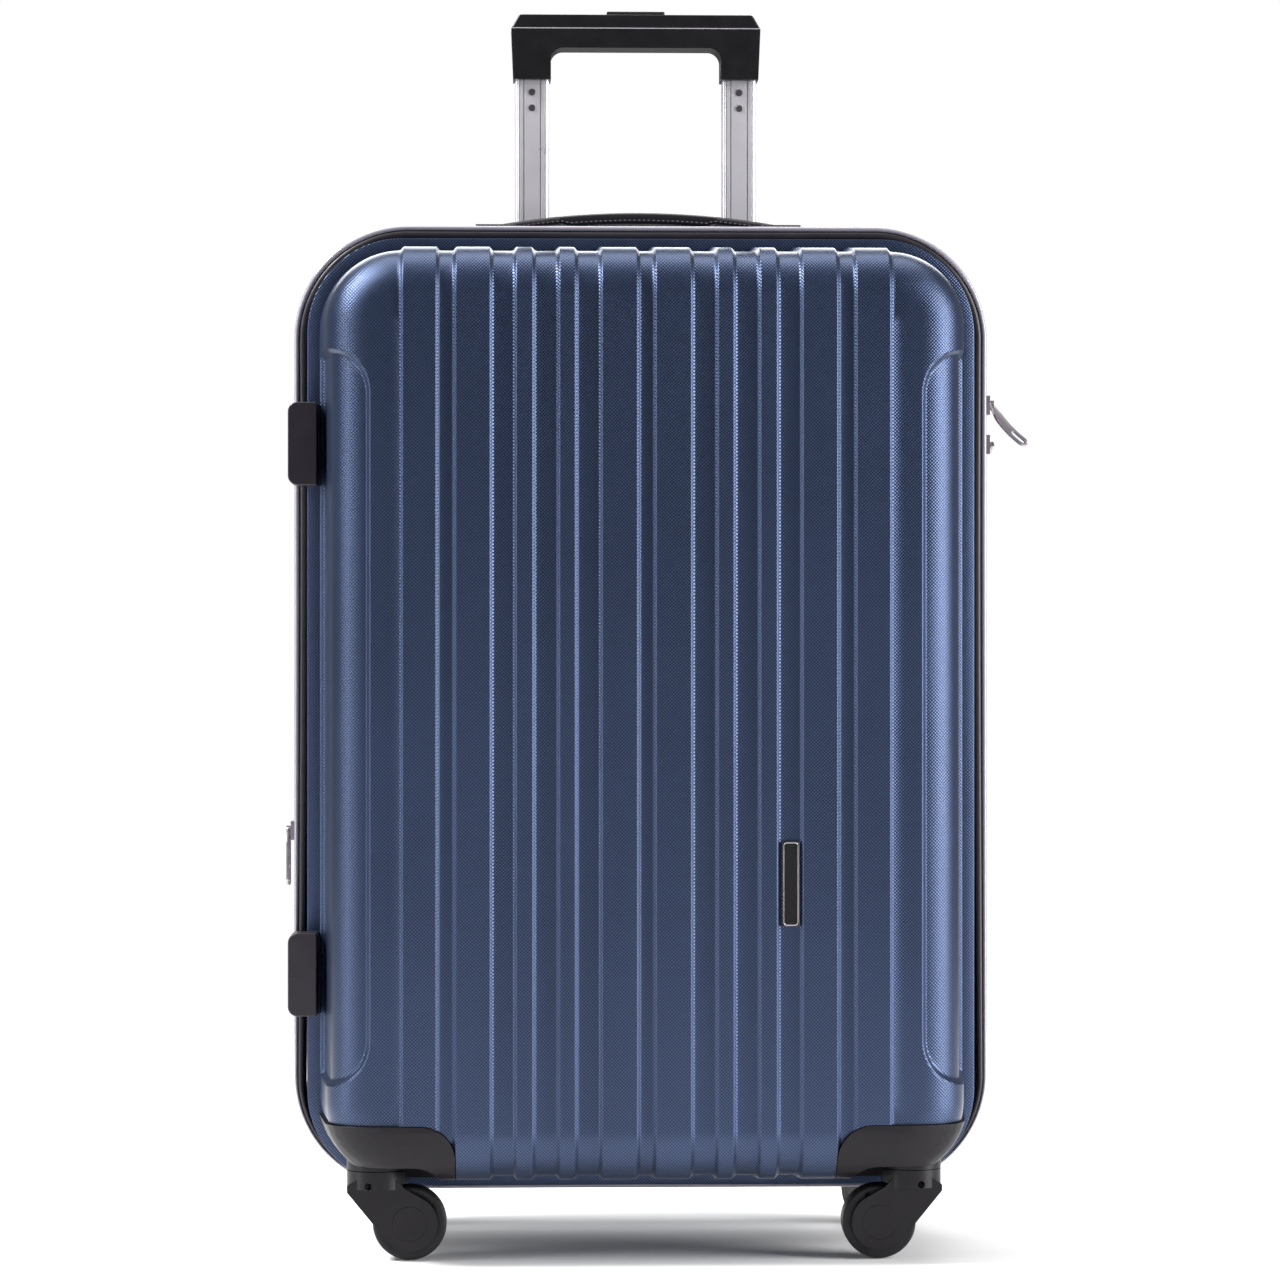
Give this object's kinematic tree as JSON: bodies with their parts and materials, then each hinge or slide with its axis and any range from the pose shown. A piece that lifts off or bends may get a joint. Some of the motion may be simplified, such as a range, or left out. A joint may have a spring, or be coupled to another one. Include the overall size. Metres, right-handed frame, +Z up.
{
  "type": "hard shell suitcase",
  "caption": "Upright hard shell suitcase with ribbed moulded halves joined by a zip, a telescopic pull handle, carry handles, a number lock and swivel casters.",
  "frame": {"origin": "on the floor under the middle of the case, midway between its two halves and between its sides", "axes": "+Z up, -Y towards the front (the lid), the hinge is on the -X side"},
  "size_m": [0.4728, 0.26, 0.7961],
  "materials": {
    "shell_plastic": "satin",
    "trim_rubber": "satin",
    "zip_fabric": "woven",
    "zip_teeth": "matte",
    "lining_fabric": "woven",
    "mesh_fabric": "woven",
    "strap_webbing": "woven",
    "badge_black": "gloss",
    "housing_plastic": "satin",
    "caster_plastic": "satin",
    "tyre_rubber": "satin",
    "pin_steel": "brushed",
    "tube_aluminium": "brushed",
    "rivet_steel": "polished",
    "grip_plastic": "satin",
    "button_plastic": "satin",
    "handle_rubber": "satin",
    "zip_chrome": "polished",
    "lock_plastic": "gloss",
    "cup_plastic": "satin"
  },
  "bodies": {
    "rear_half": {"rear_shell": "shell_plastic", "rear_trim": "trim_rubber", "gusset_band": "zip_fabric", "expansion_zip": "zip_teeth", "expansion_slider": "zip_chrome", "main_sliders": "zip_chrome", "rear_feet": "housing_plastic", "rear_screws": "pin_steel", "housing_rear_left": "housing_plastic", "housing_rear_right": "housing_plastic", "rear_lining": "lining_fabric", "cross_straps": "strap_webbing", "top_handle_mounts": "handle_rubber", "side_handle_mounts": "handle_rubber", "lock_body": "lock_plastic", "trolley_cup": "cup_plastic", "outer_tubes": "tube_aluminium", "bottom_bracket": "cup_plastic"},
    "lid": {"front_shell": "shell_plastic", "front_trim": "trim_rubber", "front_zip": "zip_fabric", "front_lining": "lining_fabric", "divider_panel": "mesh_fabric", "badge_plate": "badge_black", "front_feet": "housing_plastic", "front_screws": "pin_steel", "housing_front_left": "housing_plastic", "housing_front_right": "housing_plastic"},
    "top_handle": {"top_handle": "handle_rubber"},
    "side_handle": {"side_handle": "handle_rubber"},
    "lock_release": {"lock_release": "zip_chrome"},
    "dial_1": {"lock_dial_1": "zip_chrome"},
    "dial_2": {"lock_dial_2": "zip_chrome"},
    "dial_3": {"lock_dial_3": "zip_chrome"},
    "pull_upper": {"pull_upper": "zip_chrome"},
    "pull_lower": {"pull_lower": "zip_chrome"},
    "expansion_pull": {"expansion_pull": "zip_chrome"},
    "trolley_middle": {"middle_tubes": "tube_aluminium"},
    "trolley_top": {"inner_tubes": "tube_aluminium", "tube_rivets": "rivet_steel", "grip_body": "grip_plastic", "grip_cover": "grip_plastic"},
    "trolley_button": {"grip_button": "button_plastic", "release_rods": "pin_steel"},
    "caster_front_left": {"fork_front_left": "caster_plastic", "pins_front_left": "pin_steel"},
    "wheel_front_left": {"core_front_left": "caster_plastic", "tyre_front_left": "tyre_rubber"},
    "caster_front_right": {"fork_front_right": "caster_plastic", "pins_front_right": "pin_steel"},
    "wheel_front_right": {"core_front_right": "caster_plastic", "tyre_front_right": "tyre_rubber"},
    "caster_rear_left": {"fork_rear_left": "caster_plastic", "pins_rear_left": "pin_steel"},
    "wheel_rear_left": {"core_rear_left": "caster_plastic", "tyre_rear_left": "tyre_rubber"},
    "caster_rear_right": {"fork_rear_right": "caster_plastic", "pins_rear_right": "pin_steel"},
    "wheel_rear_right": {"core_rear_right": "caster_plastic", "tyre_rear_right": "tyre_rubber"}
  },
  "joints": [
    {"name": "lid_hinge", "type": "hinge", "parent": "rear_half", "child": "lid", "pos_m": [-0.2235, -0.01, 0.341], "axis": [0, 0, -1], "range_deg": [0, 180]},
    {"name": "trolley_lower", "type": "slide", "parent": "rear_half", "child": "trolley_middle", "axis": [0, 0, 1], "range_m": [0, 0.18]},
    {"name": "trolley_upper", "type": "slide", "parent": "trolley_middle", "child": "trolley_top", "axis": [0, 0, 1], "range_m": [-0.1625, 0.035]},
    {"name": "grip_button", "type": "slide", "parent": "trolley_top", "child": "trolley_button", "axis": [0, 0, -1], "range_m": [0, 0.003], "stiffness_N_per_m": 600, "springref_m": -0.004},
    {"name": "top_handle_lift", "type": "slide", "parent": "rear_half", "child": "top_handle", "axis": [0, 0, 1], "range_m": [0, 0.011]},
    {"name": "side_handle_lift", "type": "slide", "parent": "rear_half", "child": "side_handle", "axis": [1, 0, 0], "range_m": [0, 0.007]},
    {"name": "lock_release", "type": "slide", "parent": "rear_half", "child": "lock_release", "axis": [0, 0, 1], "range_m": [0, 0.004], "stiffness_N_per_m": 100, "springref_m": -0.002},
    {"name": "pull_upper", "type": "hinge", "parent": "rear_half", "child": "pull_upper", "pos_m": [0.224, -0.01, 0.533], "axis": [0, 1, 0], "range_deg": [-90, 10]},
    {"name": "pull_lower", "type": "hinge", "parent": "rear_half", "child": "pull_lower", "pos_m": [0.224, -0.01, 0.508], "axis": [0, 0, -1], "range_deg": [0, 45]},
    {"name": "expansion_pull", "type": "hinge", "parent": "rear_half", "child": "expansion_pull", "pos_m": [-0.224, 0.005, 0.262], "axis": [0, -1, 0], "range_deg": [-120, 0]},
    {"name": "dial_1", "type": "hinge", "parent": "rear_half", "child": "dial_1", "pos_m": [0.2125, 0.051, 0.504], "axis": [0, 0, 1], "continuous": true},
    {"name": "dial_2", "type": "hinge", "parent": "rear_half", "child": "dial_2", "pos_m": [0.2125, 0.051, 0.511], "axis": [0, 0, 1], "continuous": true},
    {"name": "dial_3", "type": "hinge", "parent": "rear_half", "child": "dial_3", "pos_m": [0.2125, 0.051, 0.518], "axis": [0, 0, 1], "continuous": true},
    {"name": "swivel_front_left", "type": "hinge", "parent": "lid", "child": "caster_front_left", "pos_m": [-0.166, -0.082, 0.05], "axis": [0, 0, 1], "continuous": true},
    {"name": "roll_front_left", "type": "hinge", "parent": "caster_front_left", "child": "wheel_front_left", "pos_m": [-0.1454, -0.082, 0.0228], "axis": [0, 1, 0], "continuous": true},
    {"name": "swivel_front_right", "type": "hinge", "parent": "lid", "child": "caster_front_right", "pos_m": [0.166, -0.082, 0.05], "axis": [0, 0, 1], "continuous": true},
    {"name": "roll_front_right", "type": "hinge", "parent": "caster_front_right", "child": "wheel_front_right", "pos_m": [0.1454, -0.082, 0.0228], "axis": [0, -1, 0], "continuous": true},
    {"name": "swivel_rear_left", "type": "hinge", "parent": "rear_half", "child": "caster_rear_left", "pos_m": [-0.166, 0.082, 0.05], "axis": [0, 0, 1], "continuous": true},
    {"name": "roll_rear_left", "type": "hinge", "parent": "caster_rear_left", "child": "wheel_rear_left", "pos_m": [-0.15729, 0.10067, 0.0228], "axis": [-0.9063, 0.4226, 0], "continuous": true},
    {"name": "swivel_rear_right", "type": "hinge", "parent": "rear_half", "child": "caster_rear_right", "pos_m": [0.166, 0.082, 0.05], "axis": [0, 0, 1], "continuous": true},
    {"name": "roll_rear_right", "type": "hinge", "parent": "caster_rear_right", "child": "wheel_rear_right", "pos_m": [0.15729, 0.10067, 0.0228], "axis": [-0.9063, -0.4226, 0], "continuous": true}
  ]
}
